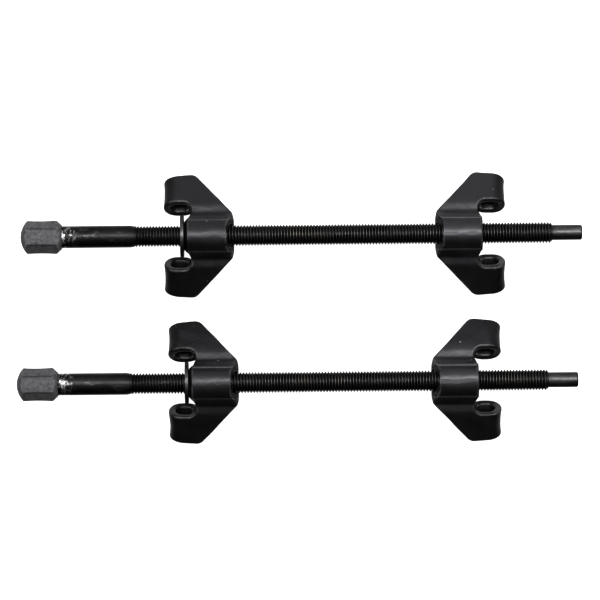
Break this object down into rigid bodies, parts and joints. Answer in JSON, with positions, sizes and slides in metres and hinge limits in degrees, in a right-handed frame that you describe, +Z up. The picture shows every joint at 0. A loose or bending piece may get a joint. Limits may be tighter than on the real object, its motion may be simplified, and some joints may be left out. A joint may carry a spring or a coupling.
{
  "type": "coil spring compressor",
  "caption": "Matched coil spring compressors: each has a long right-hand screw with a hex drive head that draws a threaded hook jaw towards a sliding hook jaw backed by a loose washer.",
  "frame": {"origin": "middle of the bottom of the bounding box, on the surface that the hooks rest on", "axes": "+X from the drive heads towards the pilots, +Y towards tool 1, +Z up out of the surface"},
  "size_m": [0.3734, 0.1788, 0.0451],
  "materials": {
    "black_forging": "satin black",
    "black_oxide_steel": "oiled black oxide",
    "bare_steel": "dark mill finish",
    "washer_steel": "dark plated"
  },
  "bodies": {
    "threaded_jaw_1": {"threaded_jaw_1": "black_forging"},
    "thrust_washer_1": {"thrust_washer_1": "washer_steel"},
    "screw_1": {"forcing_screw_1": "black_oxide_steel", "hex_head_1": "bare_steel"},
    "sliding_jaw_1": {"sliding_jaw_1": "black_forging"},
    "threaded_jaw_2": {"threaded_jaw_2": "black_forging"},
    "thrust_washer_2": {"thrust_washer_2": "washer_steel"},
    "screw_2": {"forcing_screw_2": "black_oxide_steel", "hex_head_2": "bare_steel"},
    "sliding_jaw_2": {"sliding_jaw_2": "black_forging"}
  },
  "joints": [
    {"name": "screw_turn_1", "type": "hinge", "parent": "thrust_washer_1", "child": "screw_1", "pos_m": [-0.08328, 0.0485, 0.03105], "axis": [1, 0, 0], "range_deg": [-7201, 10801]},
    {"name": "screw_advance_1", "type": "slide", "parent": "threaded_jaw_1", "child": "thrust_washer_1", "axis": [1, 0, 0], "range_m": [-0.04, 0.06]},
    {"name": "sliding_jaw_travel_1", "type": "slide", "parent": "thrust_washer_1", "child": "sliding_jaw_1", "axis": [1, 0, 0], "range_m": [0, 0.065]},
    {"name": "screw_turn_2", "type": "hinge", "parent": "thrust_washer_2", "child": "screw_2", "pos_m": [-0.08672, -0.0485, 0.03105], "axis": [1, 0, 0], "range_deg": [-7201, 10801]},
    {"name": "screw_advance_2", "type": "slide", "parent": "threaded_jaw_2", "child": "thrust_washer_2", "axis": [1, 0, 0], "range_m": [-0.04, 0.06]},
    {"name": "sliding_jaw_travel_2", "type": "slide", "parent": "thrust_washer_2", "child": "sliding_jaw_2", "axis": [1, 0, 0], "range_m": [0, 0.065]},
    {"name": "tool_2_lift", "type": "slide", "parent": "threaded_jaw_1", "child": "threaded_jaw_2", "axis": [0, 0, 1], "range_m": [0, 0.1]}
  ],
  "couplings": [
    {"joint": "screw_turn_1", "follows": "screw_advance_1", "rad_per_m": 3141.6},
    {"joint": "screw_turn_2", "follows": "screw_advance_2", "rad_per_m": 3141.6}
  ]
}
